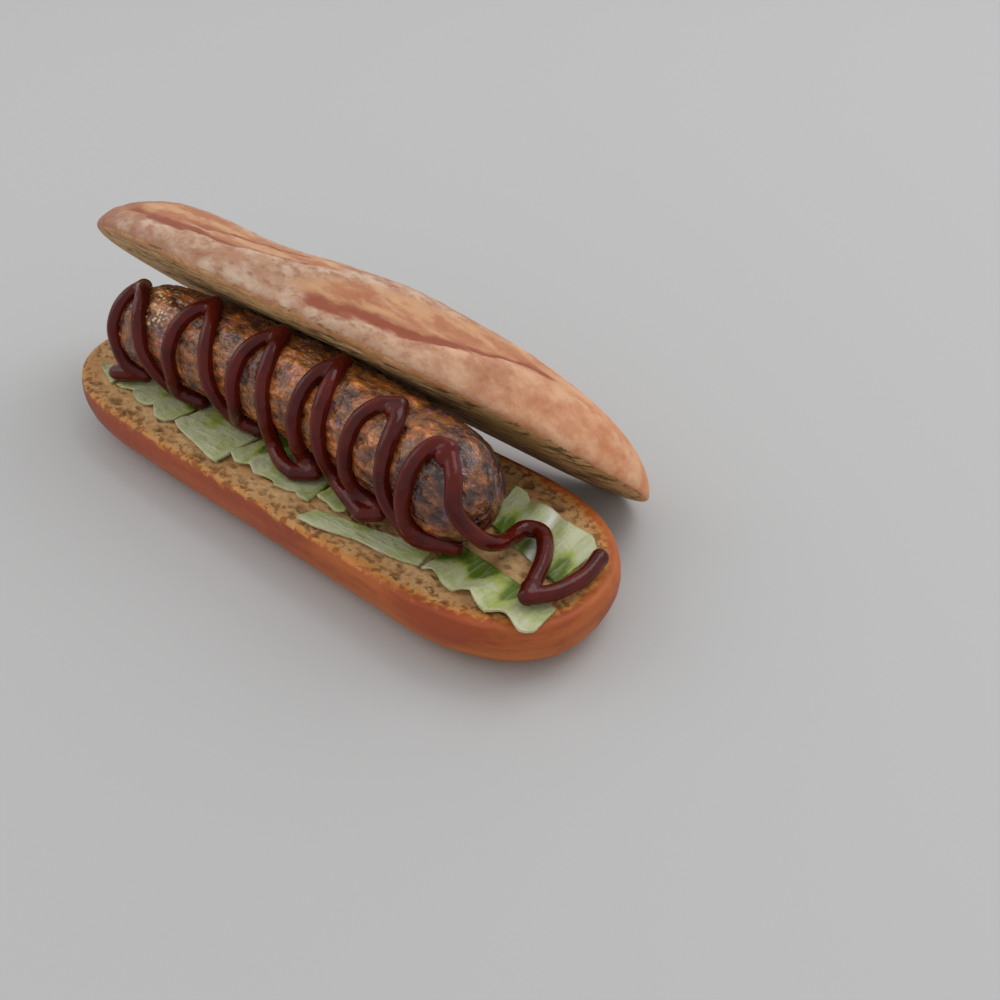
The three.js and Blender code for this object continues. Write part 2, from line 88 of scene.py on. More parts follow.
# The foot before each top: x, turn and height over the lift of its points
SAUCE_FEET = (
    ((-63, 230, 0.9), (-67, 214, 1.2)),
    ((-47, 226, 1.2), (-39.5, 231, 1.4), (-45.6, 220, 0.9)),
    ((-21.5, 223, 1.2), (-14.4, 229, 1), (-20, 220, 0.8)),
    ((-3.6, 216, 2.2), (3, 216.5, 5.6), (8, 217, 6.2), (13.6, 220.5, 3), (9, 217, 1.2)),
    ((21.5, 215, 1.2), (29.5, 215, 3.6), (36, 216, 4.9), (40, 220, 2), (32.5, 216, 1)),
    ((49.5, 204, 0.6), (55, 216, 1.6), (63, 238, 0.4), (54.4, 209, 0.6)),
)
# Which point of each foot is its tip, where the strands meet
FOOT_TIP = (0, 1, 1, 2, 2, 2)
# Points of a falling and a rising strand: share of the slant or bulge, and turn
STRAND_DOWN = ((0.42, 110), (0.74, 142), (1, 178))
STRAND_UP = ((1, 190), (1, 160), (0.95, 130), (0.6, 107))
CURL = {
    "x": -72.4, "y": -17.9, "height": 21.6, "radius": 1.2, "turns": 0.6, "start_turn": 0.4, "points": 4,
}
# The tail leaves the last top over the end of the sausage, by steps in x to a turn, and then runs
# through points of its own to its sharp turn and to its end
TAIL_START = ((0, 102), (5.6, 126), (7.6, 150), (9.6, 170))
TAIL = (
    (72.8, -12.6, 31), (73.6, -6.5, 26.4), (72.4, -0.5, 23.6), (72.6, 4.6, 22.9),
    (76.6, 6.2, 22.9), (80.8, 2.6, 22.9), (84, -2.8, 22.9), (86, -8, 22.9), (88.2, -14, 22.7),
)
TAIL_END = (
    (88.2, -14, 22.7), (91.6, -9.4, 22.3), (93.4, -3.4, 21.8), (93.8, 3.2, 21.3), (92.8, 9.6, 21.1),
)
# Drops where the rope thickens, as shares of its radius
STRAND_DROP = 1.12
FIRST_DROP = 1.35
TOP_DROP = 1.12
TOP_DROP_TURN = 9
TOP_DROP_LIFT = SAUCE_LIFT - 0.3
TAIL_DROP = 1.22
# Each leaf's ends along X, its inner and outer edge at both ends, the number and phase of its folds,
# how green it is (and so how deep the painted shade in its folds), and whether its veins run lengthwise
LEAVES = {
    "lettuce_left_tip": (-83.5, -73.2, (-15.4, -12), (-17.6, -22), 1.2, 0.4, 0.25, True),
    "lettuce_left": (-71.5, -40.6, (-11, -4), (-19.6, -23.6), 2.6, 1.1, 0.75, False),
    "lettuce_flat": (-39.8, -14.6, (-7, -5), (-22.4, -27.4), 1, 1.9, 0.35, True),
    "lettuce_wavy": (-13.9, 17.4, (-5, -4), (-22.4, -21.4), 3.6, 0.2, 0.95, False),
    "lettuce_small": (18.2, 29.4, (-3, -3), (-18.6, -19.6), 1.5, 2.4, 1.0, False),
    "lettuce_blade": (20.4, 58, (-21.8, -12.9), (-27.8, -20.6), 1.5, 0.8, 0.25, True),
    "lettuce_fold": (33.4, 48, (-4, -4), (-12.6, -11.4), 2, 1.4, 1.0, False),
    "lettuce_ruffled": (59, 95, (-7, -9.6), (-21, -20.6), 3.2, 3.4, 1.0, False),
    "lettuce_back": (58.5, 89.5, (4.6, -3), (18.4, 15.4), 3, 0.3, 0.75, False),
}
# How far a rounded piece stays inside its solid's box at the sides and ends
BOX_INSET = 0.12
# Fold angle in degrees past which a leaf's edge stays crisp
CRISP_FOLD = 50
# Seed of the drift in the pores, which would start from the clock without one
PORE_SEED = 3
# Name, place in metres, power in watts and width in metres of each light
LIGHTS = (
    ("Key light", (0.25, 0.75, 1.2), 6, 0.9),
    ("Fill light", (-0.9, -0.5, 0.9), 2.5, 0.8),
)
SKY_STRENGTH = 0.72
# The camera's place in millimetres, and its direction
CAMERA_PLACE = (197.48, -155.22, 202.66)
CAMERA_AIM = (-0.4906, 0.5882, -0.6429)


def tone(red, green, blue):
    """A display colour, 0 to 255, as the linear colour that shaders take."""
    def linear(level):
        level /= 255
        return level / 12.92 if level < 0.04045 else ((level + 0.055) / 1.055) ** 2.4
    return (linear(red), linear(green), linear(blue), 1)


def smooth_step(low, high, value):
    share = min(max((value - low) / (high - low), 0), 1)
    return share * share * (3 - 2 * share)


def cloud(spot, size, seed=0):
    """Soft noise between about -1 and 1 with features of that size in millimetres."""
    return noise.fractal(spot / size + Vector((seed, 2.7 * seed, 0.3)), 0.6, 2.1, 4)


def pit(spot, size, stretch, share, seed):
    """Depth from 0 to 1 of a scatter of round pits; share of the cells hold one."""
    place = Vector((spot.x / (size * stretch), spot.y / size, spot.z / size)) + Vector((seed, seed, 0))
    place += 0.22 * noise.noise_vector(place * 2.3)
    distances, centres = noise.voronoi(place)
    chance = 0.5 + 0.5 * noise.cell(centres[0] * 7.3)
    if chance > share:
        return 0
    reach = 0.2 + 0.34 * chance / share
    return 1 - smooth_step(0.35 * reach, reach, distances[0])


class RollSettings(bpy.types.PropertyGroup):
    crust: bpy.props.FloatVectorProperty(
        name="Crust", description="Main colour of the lower crust", subtype="COLOR", size=4,
        default=tone(180, 96, 46))
    crumb: bpy.props.FloatVectorProperty(
        name="Crumb", description="Colour of the cut crumb", subtype="COLOR", size=4,
        default=tone(206, 168, 120))
    pale_crust: bpy.props.FloatVectorProperty(
        name="Pale crust", description="Colour of the floured upper crust", subtype="COLOR", size=4,
        default=tone(184, 142, 114))
    pore_depth: bpy.props.FloatProperty(
        name="Pore depth", description="Depth of the largest holes in the crumb", subtype="DISTANCE",
        default=1.1 * MM)
    cell: bpy.props.FloatProperty(
        name="Mesh cell", description="Cell size of the refined bread", subtype="DISTANCE",
        default=0.64 * MM)


class SausageSettings(bpy.types.PropertyGroup):
    brown: bpy.props.FloatVectorProperty(
        name="Browned skin", description="Main colour of the sausage", subtype="COLOR", size=4,
        default=tone(112, 60, 28))
    char: bpy.props.FloatVectorProperty(
        name="Char", description="Colour of the darkest spots", subtype="COLOR", size=4,
        default=tone(42, 21, 14))
    wrinkle: bpy.props.FloatProperty(
        name="Wrinkle", description="Height of the bumps in the skin", subtype="DISTANCE",
        default=0.35 * MM)


class SauceSettings(bpy.types.PropertyGroup):
    colour: bpy.props.FloatVectorProperty(
        name="Sauce", description="Colour of the sauce", subtype="COLOR", size=4,
        default=tone(88, 18, 9))
    radius: bpy.props.FloatProperty(
        name="Rope radius", description="Half the thickness of the rope of sauce",
        subtype="DISTANCE", default=2.25 * MM)
    cell: bpy.props.FloatProperty(
        name="Mesh cell", description="Cell size of the refined rope", subtype="DISTANCE",
        default=0.37 * MM)


class LettuceSettings(bpy.types.PropertyGroup):
    pale: bpy.props.FloatVectorProperty(
        name="Pale leaf", description="Colour of the leaf near its rib", subtype="COLOR", size=4,
        default=tone(184, 188, 148))
    green: bpy.props.FloatVectorProperty(
        name="Green leaf", description="Colour of the leaf in its folds", subtype="COLOR", size=4,
        default=tone(88, 112, 20))


class StageSettings(bpy.types.PropertyGroup):
    floor: bpy.props.FloatVectorProperty(
        name="Floor", description="Colour of the floor", subtype="COLOR", size=4,
        default=tone(184, 184, 184))
    lens: bpy.props.FloatProperty(
        name="Lens", description="Focal length of the camera", subtype="DISTANCE_CAMERA", default=37.8)


def refined(name, form, levels=0, cell=0, relax=0):
    """A piece from a bmesh: rounded off, cut into even cells and relaxed, where it is asked for."""
    mesh = bpy.data.meshes.new(name)
    form.to_mesh(mesh)
    form.free()
    piece = bpy.data.objects.new(name, mesh)
    bpy.context.scene.collection.objects.link(piece)
    if levels:
        rounding = piece.modifiers.new("Round", "SUBSURF")
        rounding.levels = rounding.render_levels = levels
    if cell:
        even = piece.modifiers.new("Even cells", "REMESH")
        even.mode = "VOXEL"
        even.voxel_size = cell
    if relax:
        relaxing = piece.modifiers.new("Relax", "SMOOTH")
        relaxing.factor = 0.5
        relaxing.iterations = relax
    bpy.context.view_layer.update()
    settled = piece.evaluated_get(bpy.context.evaluated_depsgraph_get())
    made = bpy.data.meshes.new_from_object(settled)
    piece.modifiers.clear()
    piece.data = made
    made.name = name
    if not made.polygons:
        raise RuntimeError(name + " has no faces")
    if levels:
        fill_box(made, mesh)
    return piece


def reach_of(mesh):
    """Lowest and highest corner of a mesh's box."""
    spots = [vertex.co for vertex in mesh.vertices]
    low = Vector([min(spot[i] for spot in spots) for i in range(3)])
    high = Vector([max(spot[i] for spot in spots) for i in range(3)])
    return low, high


def fill_box(rounded, solid):
    """Stretches a rounded mesh back to the box of the solid that it came from."""
    low, high = reach_of(solid)
    small_low, small_high = reach_of(rounded)
    low += Vector((BOX_INSET, BOX_INSET, 0)) * MM
    high -= Vector((BOX_INSET, BOX_INSET, 0)) * MM
    for vertex in rounded.vertices:
        for i in range(3):
            share = (vertex.co[i] - small_low[i]) / (small_high[i] - small_low[i])
            vertex.co[i] = low[i] + share * (high[i] - low[i])
    rounded.update()


def merged_copy(node):
    """A CAD solid's mesh with its corners merged and its faces joined into quads."""
    form = bmesh.new()
    form.from_mesh(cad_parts[node].data)
    bmesh.ops.remove_doubles(form, verts=form.verts, dist=0.002 * MM)
    bmesh.ops.join_triangles(
        form, faces=form.faces, angle_face_threshold=math.radians(40),
        angle_shape_threshold=math.radians(120))
    return form


def sharpen(form):
    """Keeps the thin edges of a form crisp when it is rounded off."""
    crease = form.edges.layers.float.new("crease_edge")
    for edge in form.edges:
        if edge.calc_face_angle(0) > math.radians(CRISP_FOLD):
            edge[crease] = 1


def shape_skin(piece, move):
    """Moves each point of a piece and keeps what move says of it as attributes."""
    noise.seed_set(PORE_SEED)
    mesh = piece.data
    moved, marks = [], {}
    for vertex in mesh.vertices:
        spot = vertex.co / MM
        shift, facts = move(spot, vertex.normal.copy())
        moved.extend((spot + shift) * MM)
        for key, value in facts.items():
            marks.setdefault(key, []).append(value)
    mesh.vertices.foreach_set("co", moved)
    for key, values in marks.items():
        mesh.attributes.new(key, "FLOAT", "POINT").data.foreach_set("value", values)
    mesh.update()


def stand_in(piece, node, material):
    """Stands the piece in for its CAD solid, in its finish."""
    piece.data.materials.clear()
    piece.data.materials.append(material)
    piece.data.shade_smooth()
    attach(piece, "root")
    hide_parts(node)


def rim_finder(corners):
    """Distance finder for a cut face's rim, from the corners of its outline."""
    ordered = sorted(corners, key=lambda spot: math.atan2(spot.y, spot.x))
    steps = 14  # points along each edge of the outline
    tree = KDTree(len(ordered) * steps)
    for i, spot in enumerate(ordered):
        following = ordered[(i + 1) % len(ordered)]
        for j in range(steps):
            tree.insert(spot.lerp(following, j / steps), i * steps + j)
    tree.balance()
    return tree


class Finish:
    """A material in the making: its pattern nodes, and the shader that they feed."""

    def __init__(self, name):
        self.material = bpy.data.materials.new(name)
        self.material.use_nodes = True
        self.tree = self.material.node_tree
        self.shader = self.tree.nodes["Principled BSDF"]
        self.place = self.node("ShaderNodeTexCoord").outputs["Object"]

    def node(self, kind, settings=None, sockets=None):
        made = self.tree.nodes.new(kind)
        for key, value in (settings or {}).items():
            setattr(made, key, value)
        for key, value in (sockets or {}).items():
            self.feed(made.inputs[key], value)
        return made

    def feed(self, socket, value):
        if isinstance(value, bpy.types.NodeSocket):
            self.tree.links.new(value, socket)
        else:
            socket.default_value = value

    def shade(self, **sockets):
        for key, value in sockets.items():
            self.feed(self.shader.inputs[key.replace("_", " ")], value)

    def mark(self, name):
        """The value that a piece's own attribute gives."""
        return self.node("ShaderNodeAttribute", {"attribute_name": name}).outputs["Fac"]

    def stretched(self, stretch, shift=(0, 0, 0), turn=(0, 0, 0)):
        """Object coordinates stretched along the axes, moved and turned."""
        scale = tuple(1 / share for share in stretch)
        turned = self.node(
            "ShaderNodeMapping", sockets={"Vector": self.place, "Scale": scale, "Location": shift,
                                          "Rotation": turn})
        return turned.outputs["Vector"]

    def clouds(self, size, detail=4, roughness=0.55, distortion=0, stretch=(1, 1, 1), shift=(0, 0, 0),
               turn=(0, 0, 0)):
        """Soft noise from 0 to 1 with features of that size in millimetres."""
        made = self.node("ShaderNodeTexNoise", sockets={
            "Vector": self.stretched(stretch, shift, turn), "Scale": 1 / (size * MM), "Detail": detail,
            "Roughness": roughness, "Distortion": distortion})
        return made.outputs["Fac"]

    def cells(self, size, warp, stretch=(1, 1, 1)):
        """Distance to the middle of warped cells of that size in millimetres."""
        place = self.stretched(stretch)
        drift = self.node("ShaderNodeTexNoise", sockets={
            "Vector": place, "Scale": 0.7 / (size * MM), "Detail": 2})
        scaled = self.node("ShaderNodeVectorMath", {"operation": "SCALE"})
        self.feed(scaled.inputs[0], drift.outputs["Color"])
        self.feed(scaled.inputs["Scale"], warp * size * MM)
        moved = self.node("ShaderNodeVectorMath", {"operation": "ADD"})
        self.feed(moved.inputs[0], place)
        self.feed(moved.inputs[1], scaled.outputs[0])
        made = self.node("ShaderNodeTexVoronoi", sockets={
            "Vector": moved.outputs[0], "Scale": 1 / (size * MM)})
        return made.outputs["Distance"]

    def step(self, value, low, high, start=0.0, end=1.0):
        """Smooth change from start to end as value goes from low to high."""
        made = self.node("ShaderNodeMapRange", {"interpolation_type": "SMOOTHSTEP"}, {
            "Value": value, "From Min": low, "From Max": high, "To Min": start, "To Max": end})
        return made.outputs["Result"]

    def sum(self, operation, first, second):
        """Result of a math operation on two values."""
        made = self.node("ShaderNodeMath", {"operation": operation})
        self.feed(made.inputs[0], first)
        self.feed(made.inputs[1], second)
        return made.outputs[0]

    def layered(self, *parts):
        """Weighted sum of patterns, each given with its weight."""
        total = 0.0
        for pattern, weight in parts:
            total = self.sum("ADD", total, self.sum("MULTIPLY", pattern, weight))
        return total

    def bands(self, value, *stops):
        """Colour of a value along the stops, each a place and a colour."""
        made = self.node("ShaderNodeValToRGB", sockets={"Fac": value})
        marks = made.color_ramp.elements
        while len(marks) < len(stops):
            marks.new(0.5)
        for mark, (place, colour) in zip(marks, stops):
            mark.position = place
            mark.color = colour
        return made.outputs["Color"]

    def blend(self, share, first, second):
        """Colour that goes from first to second."""
        made = self.node("ShaderNodeMix", {"data_type": "RGBA"})
        self.feed(made.inputs[0], share)
        self.feed(made.inputs[6], first)
        self.feed(made.inputs[7], second)
        return made.outputs[2]

    def between(self, share, first, second):
        """Value that goes from first to second."""
        made = self.node("ShaderNodeMix", {"data_type": "FLOAT"})
        self.feed(made.inputs[0], share)
        self.feed(made.inputs[2], first)
        self.feed(made.inputs[3], second)
        return made.outputs[0]

    def relief(self, height, depth):
        """Bump of that depth in millimetres."""
        made = self.node("ShaderNodeBump", sockets={
            "Height": height, "Distance": depth * MM, "Strength": 1.0})
        return made.outputs["Normal"]


def crumb_look(finish, crumb, dark, pore_mark, streak):
    """Colour, holes and height of cut crumb; streak stretches it along the roll."""
    fine = finish.clouds(1.5, detail=4, roughness=0.6, stretch=(streak, 1, 1))
    wide = finish.clouds(9, detail=3, stretch=(1.6, 1, 1), shift=(0.013, 0, 0))
    pores = finish.cells(3.2, warp=0.8, stretch=(1.5 * streak, 1, 1))
    pinholes = finish.step(pores, 0.14, 0.44, 0.7, 0.0)
    scattered = finish.step(finish.clouds(6, detail=2, shift=(0, 0.031, 0)), 0.44, 0.56)
    holes = finish.sum("MAXIMUM", finish.sum("MULTIPLY", pinholes, scattered), pore_mark)
    base = finish.blend(finish.step(wide, 0.38, 0.66, 0.0, 0.55), crumb, dark)
    base = finish.blend(finish.step(fine, 0.46, 0.66, 0.0, 0.5), base, dark)
    height = finish.sum("SUBTRACT", finish.sum("MULTIPLY", fine, 0.5), holes)
    return base, holes, height


def lower_finish(settings):
    """Baked crust, golden at the rim, around an open crumb."""
    finish = Finish("Baked crust and crumb")
    inward = finish.mark("inward")
    pore_mark = finish.mark("pore")
    crumb, holes, crumb_height = crumb_look(
        finish, settings.crumb, tone(172, 118, 66), pore_mark, 1.15)
    speckle = finish.clouds(2.2, detail=3, shift=(0.01, 0, 0))
    place = finish.node("ShaderNodeSeparateXYZ", sockets={"Vector": finish.place})
    rim = finish.sum("SUBTRACT", inward, finish.step(place.outputs["X"], 10 * MM, 82 * MM, 0.0, 3.4))
    near_rim = finish.step(rim, 1.0, 8.0, 1.0, 0.0)
    crumb = finish.blend(finish.sum("MULTIPLY", near_rim, 0.4), crumb, tone(172, 120, 64))
    freckles = finish.sum("MULTIPLY", near_rim, finish.step(speckle, 0.5, 0.58))
    crumb = finish.blend(finish.sum("MULTIPLY", freckles, 0.8), crumb, tone(122, 74, 34))
    # Painted shade: the pores of the crumb are darkened as if shaded inside.
    crumb = finish.blend(holes, crumb, tone(122, 80, 42))

    blotch = finish.clouds(20, detail=4, distortion=0.4, stretch=(2.2, 1, 0.5))
    crust = finish.blend(finish.step(blotch, 0.42, 0.62), settings.crust, tone(154, 70, 38))
    warm = finish.step(place.outputs["Z"], 1 * MM, 12 * MM, 0.85, 0.0)
    crust = finish.blend(warm, crust, tone(212, 130, 54))
    crust = finish.blend(finish.step(place.outputs["X"], 0.0, 40 * MM, 0.5, 0.0), crust, tone(156, 70, 46))
    # Painted shade: the left end of the crust is darkened towards a grey brown.
    left = finish.step(place.outputs["X"], -100 * MM, -60 * MM, 0.85, 0.0)
    crust = finish.blend(left, crust, tone(88, 60, 52))
    streaks = finish.clouds(6, detail=4, roughness=0.6, stretch=(4, 4, 0.5), shift=(0, 0, 0.01))
    crust = finish.blend(finish.step(streaks, 0.48, 0.68, 0.0, 0.4), crust, tone(132, 62, 30))

    torn = finish.sum("ADD", rim, finish.step(finish.clouds(2.6, detail=3), 0.3, 0.7, -1.0, 1.0))
    golden = finish.blend(finish.step(speckle, 0.48, 0.62), tone(198, 134, 66), tone(150, 88, 40))
    skin = finish.blend(finish.step(torn, -2.0, 0.4), crust, golden)
    colour = finish.blend(finish.step(torn, 0.2, 1.4), skin, crumb)
    finish.shade(Base_Color=colour)
    finish.shade(Roughness=finish.step(torn, -0.8, 1.2, 0.5, 0.85))
    finish.shade(Specular_IOR_Level=0.28)
    crust_height = finish.sum("MULTIPLY", streaks, 0.35)
    height = finish.between(finish.step(torn, 0.4, 1.8), crust_height, crumb_height)
    finish.shade(Normal=finish.relief(height, 0.7))
    return finish.material


def upper_finish(settings):
    """Pale, floured crust with red-brown slash lips, over a streaky cut face."""
    finish = Finish("Floured crust and crumb")
    inward = finish.mark("inward")
    pore_mark = finish.mark("pore")
    hollow = finish.mark("hollow")
    lip = finish.mark("lip")
    crumb, holes, crumb_height = crumb_look(
        finish, tone(214, 172, 118), tone(168, 130, 80), pore_mark, 2.4)
    # Painted shade: the pores are darkened as if shaded inside, and dark streaks along the roll stand for
    # the shade in pores seen edge-on.
    crumb = finish.blend(holes, crumb, tone(92, 70, 36))
    streaks = finish.clouds(2.2, detail=4, roughness=0.6, stretch=(7, 1, 1), shift=(0, 0.02, 0.01))
    crumb = finish.blend(finish.step(streaks, 0.5, 0.64, 0.0, 0.8), crumb, tone(86, 62, 32))

    wide = finish.clouds(15, detail=4, stretch=(1.8, 1, 1))
    crust = finish.blend(finish.step(wide, 0.34, 0.66), settings.pale_crust, tone(176, 126, 98))
    flour = finish.clouds(6, detail=5, roughness=0.62, stretch=(1.6, 1, 1))
    crust = finish.blend(finish.step(flour, 0.38, 0.66, 0.0, 0.9), crust, tone(206, 180, 158))
    spots = finish.clouds(2.4, detail=4, roughness=0.6, stretch=(1.5, 1, 1), shift=(0.05, 0.02, 0))
    crust = finish.blend(finish.step(spots, 0.46, 0.68, 0.0, 0.7), crust, tone(154, 100, 72))
    axes = finish.node("ShaderNodeSeparateXYZ", sockets={"Vector": finish.place})
    along = finish.sum("ADD", axes.outputs["X"], finish.step(flour, 0.3, 0.7, -14 * MM, 14 * MM))
    browned = finish.blend(finish.step(spots, 0.34, 0.64), tone(138, 84, 62), tone(166, 112, 86))
    left = finish.step(along, -106 * MM, -44 * MM, 0.95, 0.0)
    crust = finish.blend(left, crust, browned)
    # The right end turns rosy and lighter: partly the crust's own orange tone, partly painted light that
    # lifts an end which falls in shade.
    rosy_and_painted_light = finish.blend(finish.step(flour, 0.34, 0.7), tone(206, 130, 86), tone(222, 170, 132))
    right = finish.step(along, 6 * MM, 80 * MM, 0.0, 0.85)
    crust = finish.blend(right, crust, rosy_and_painted_light)

    grain = finish.clouds(5, detail=5, roughness=0.6, stretch=(3.4, 1, 1), shift=(0.02, 0, 0))
    inside = finish.blend(finish.step(grain, 0.4, 0.62), tone(208, 158, 114), tone(176, 108, 72))
    crust = finish.blend(finish.step(hollow, 0.08, 0.6, 0.0, 0.75), crust, inside)
    patchy = finish.sum("MULTIPLY", lip, finish.step(grain, 0.36, 0.6, 1.0, 0.6))
    crust = finish.blend(finish.step(patchy, 0.05, 0.75, 0.0, 0.92), crust, tone(140, 66, 44))

    torn = finish.sum("ADD", inward, finish.step(finish.clouds(3.2, detail=4), 0.3, 0.7, -0.8, 0.8))
    edge = finish.blend(0.5, tone(198, 128, 60), crust)
    skin = finish.blend(finish.step(torn, -1.6, 0.2), crust, edge)
    colour = finish.blend(finish.step(torn, 0.5, 1.8), skin, crumb)
    finish.shade(Base_Color=colour)
    finish.shade(Roughness=finish.step(flour, 0.35, 0.65, 0.6, 0.85))
    finish.shade(Specular_IOR_Level=0.35)
    crust_height = finish.layered((flour, 0.45), (grain, 0.3))
    height = finish.between(finish.step(torn, 0.4, 1.8), crust_height, crumb_height)
    finish.shade(Normal=finish.relief(height, 0.8))
    return finish.material


def sausage_finish(settings):
    """Browned, mottled, greasy skin: char, orange tones, a pale speck patch, painted glints, painted back
    shade.
    """
    finish = Finish("Grilled sausage skin")
    broad = finish.clouds(9, detail=3)
    mottle = finish.clouds(4, detail=3, roughness=0.5, stretch=(1.5, 1, 1), shift=(0.01, 0.02, 0))
    specks = finish.clouds(2, detail=2, roughness=0.5, stretch=(1.4, 1, 1), shift=(0.03, 0, 0.01))
    place = finish.node("ShaderNodeSeparateXYZ", sockets={"Vector": finish.place})
    darker = finish.step(place.outputs["X"], 24 * MM, 66 * MM, 0.0, -0.06)
    # Painted shade: the back of the sausage, under the leaning upper roll, is made darker.
    painted_back_shade = finish.step(place.outputs["Y"], -4 * MM, 8 * MM, 0.0, -0.05)
    browned = finish.layered((broad, 0.3), (mottle, 0.42), (specks, 0.28), (darker, 1.0), (painted_back_shade, 1.0))
    skin = finish.bands(
        browned, (0.35, settings.char), (0.415, tone(78, 38, 18)), (0.465, settings.brown),
        (0.51, tone(130, 84, 36)), (0.555, tone(170, 88, 34)), (0.615, tone(208, 142, 80)))
    # Painted glints: small lavender-grey flecks stand for reflections on the glossy skin.
    painted_glints = finish.clouds(4.4, detail=5, roughness=0.6, distortion=1.2, shift=(0.05, 0, 0.02))
    skin = finish.blend(finish.step(painted_glints, 0.58, 0.64, 0.0, 0.35), skin, tone(134, 94, 118))
    # A patch of pale specks on the skin.
    pale_specks = finish.step(finish.cells(1.6, warp=0.9), 0.42, 0.24)
    patch = finish.node("ShaderNodeVectorMath", {"operation": "DISTANCE"})
    finish.feed(patch.inputs[0], finish.place)
    finish.feed(patch.inputs[1], Vector(PALE_SPECK_PATCH) * MM)
    near = finish.step(patch.outputs["Value"], 5 * MM, 11 * MM, 1.0, 0.0)
    skin = finish.blend(finish.sum("MULTIPLY", pale_specks, near), skin, tone(228, 196, 146))
    finish.shade(Base_Color=skin)
    finish.shade(Roughness=finish.step(mottle, 0.35, 0.65, 0.28, 0.14))
    finish.shade(Specular_IOR_Level=0.5, Coat_Weight=0.3, Coat_Roughness=0.08)
    finish.shade(Normal=finish.relief(finish.layered((mottle, 0.9), (specks, 1.0)), 1.3))
    return finish.material


def sauce_finish(settings):
    """Thick, glossy brown-red sauce."""
    finish = Finish("Glossy sauce")
    swirl = finish.clouds(9, detail=3, distortion=0.6)
    colour = finish.blend(finish.step(swirl, 0.4, 0.65), settings.colour, tone(68, 13, 7))
    finish.shade(Base_Color=colour)
    finish.shade(Roughness=finish.step(finish.clouds(4, detail=2), 0.3, 0.7, 0.12, 0.2))
    finish.shade(Specular_IOR_Level=0.25)
    finish.shade(Normal=finish.relief(finish.clouds(3.2, detail=2), 0.2))
    return finish.material


def lettuce_finish(settings, lengthwise):
    """Crisp leaf: pale outer edge, green with painted shade in its folds and by the sausage, fine veins.
    """
    finish = Finish("Lettuce leaf, veins along" if lengthwise else "Lettuce leaf, veins across")
    across = finish.mark("across")
    fold = finish.mark("fold")
    rib = finish.mark("rib")
    patches = finish.clouds(7, detail=3)
    leaf = finish.blend(finish.step(patches, 0.42, 0.66), settings.pale, tone(168, 176, 116))
    # Painted shade with the leaf's green: the fold value darkens the valleys of the folds and the inner
    # edge by the sausage.
    shaded = finish.sum("ADD", fold, finish.step(patches, 0.35, 0.65, -0.16, 0.16))
    leaf = finish.blend(finish.step(shaded, 0.2, 0.6), leaf, tone(164, 174, 88))
    leaf = finish.blend(finish.step(shaded, 0.5, 0.95), leaf, settings.green)
    run = (8, 1, 1) if lengthwise else (1, 8, 1)
    veins = finish.clouds(1.1, detail=3, roughness=0.5, stretch=run, turn=(0, 0, 0.12))
    leaf = finish.blend(finish.step(veins, 0.52, 0.66, 0.0, 0.14), leaf, tone(222, 220, 200))
    leaf = finish.blend(finish.step(veins, 0.48, 0.38, 0.0, 0.12), leaf, tone(120, 124, 70))
    leaf = finish.blend(rib, leaf, tone(228, 226, 216))
    edge = finish.step(across, 0.95, 1.0, 0.0, 0.35)
    leaf = finish.blend(edge, leaf, tone(208, 206, 172))
    finish.shade(Base_Color=leaf)
    finish.shade(Roughness=0.48, Specular_IOR_Level=0.4)
    finish.shade(Subsurface_Weight=0.1, Subsurface_Scale=1.2 * MM)
    finish.shade(Subsurface_Radius=(0.8, 1.0, 0.3))
    height = finish.layered((veins, 0.8), (finish.clouds(1.8, detail=3), 0.8))
    finish.shade(Normal=finish.relief(height, 0.35))
    return finish.material


class HOTDOG_OT_lower_roll(bpy.types.Operator):
    """Dress the lower half of the roll."""
    bl_idname = "hot_dog.lower_roll"
    bl_label = "Lower half of the roll"

    def execute(self, context):
        settings = context.scene.hot_dog_roll
        form = merged_copy("bottom_bread")
        rim = rim_finder([v.co / MM for v in form.verts if v.co.z / MM > RIM_HEIGHT - 0.05])
        piece = refined("lower_roll", form, levels=2, cell=settings.cell, relax=3)
        depth = settings.pore_depth / MM

        def bake(spot, normal):
            distance = rim.find(spot)[2]
            on_cut = normal.z > 0.55 and spot.z > RIM_HEIGHT - 1.2
            inward = distance if on_cut else -distance
            if inward > 0:
                crumb = smooth_step(1.2, 3, inward)
                wide = pit(spot, 4.6, 1.4, 0.34, 3.1)
                small = pit(spot, 2.5, 1.3, 0.42, 8.2)
                pore = crumb * max(0.9 * wide, 0.6 * small)
                lift = crumb * (0.12 * cloud(spot, 9, 1) - 0.1)
                return Vector((0, 0, lift - depth * pore)), {"inward": inward, "pore": pore}
            bulge = 0.16 * cloud(spot, 11, 2) + 0.07 * cloud(spot, 3.4, 4) - 0.12
            return normal * bulge * smooth_step(0, 2.5, spot.z), {"inward": inward, "pore": 0}

        shape_skin(piece, bake)
        stand_in(piece, "bottom_bread", lower_finish(settings))
        return {"FINISHED"}


def turn_at(line, x):
    """The turn of a line of x and turn at x."""
    (x0, turn0), (x1, turn1) = next(pair for pair in zip(line, line[1:]) if x <= pair[1][0])
    return turn0 + (turn1 - turn0) * (x - x0) / (x1 - x0)


def hollow_mark(x, turn, slash):
    """How deep in a slash's hollow a place in the upper crust lies, from 0 to 1."""
    line = slash["line"]
    start, end = line[0][0], line[-1][0]
    if not start < x < end:
        return 0
    taper = (1 - ((2 * x - start - end) / (end - start)) ** 2) ** 0.6
    part = (turn - turn_at(line, x)) / (slash["width"] * taper)
    return taper * math.sin(math.pi * part ** 0.7) if 0 < part < 1 else 0


def stroke_mark(x, turn, stroke):
    """How far a place in the upper crust is browned by a stroke, from 0 to 1."""
    line, below, above, strength = stroke
    start, end = line[0][0], line[-1][0]
    if not start < x < end:
        return 0
    off = turn - turn_at(line, x)
    faded = smooth_step(start, start + 9, x) * smooth_step(end, end - 9, x)
    return strength * faded * math.exp(-((off / (below if off < 0 else above)) ** 2))


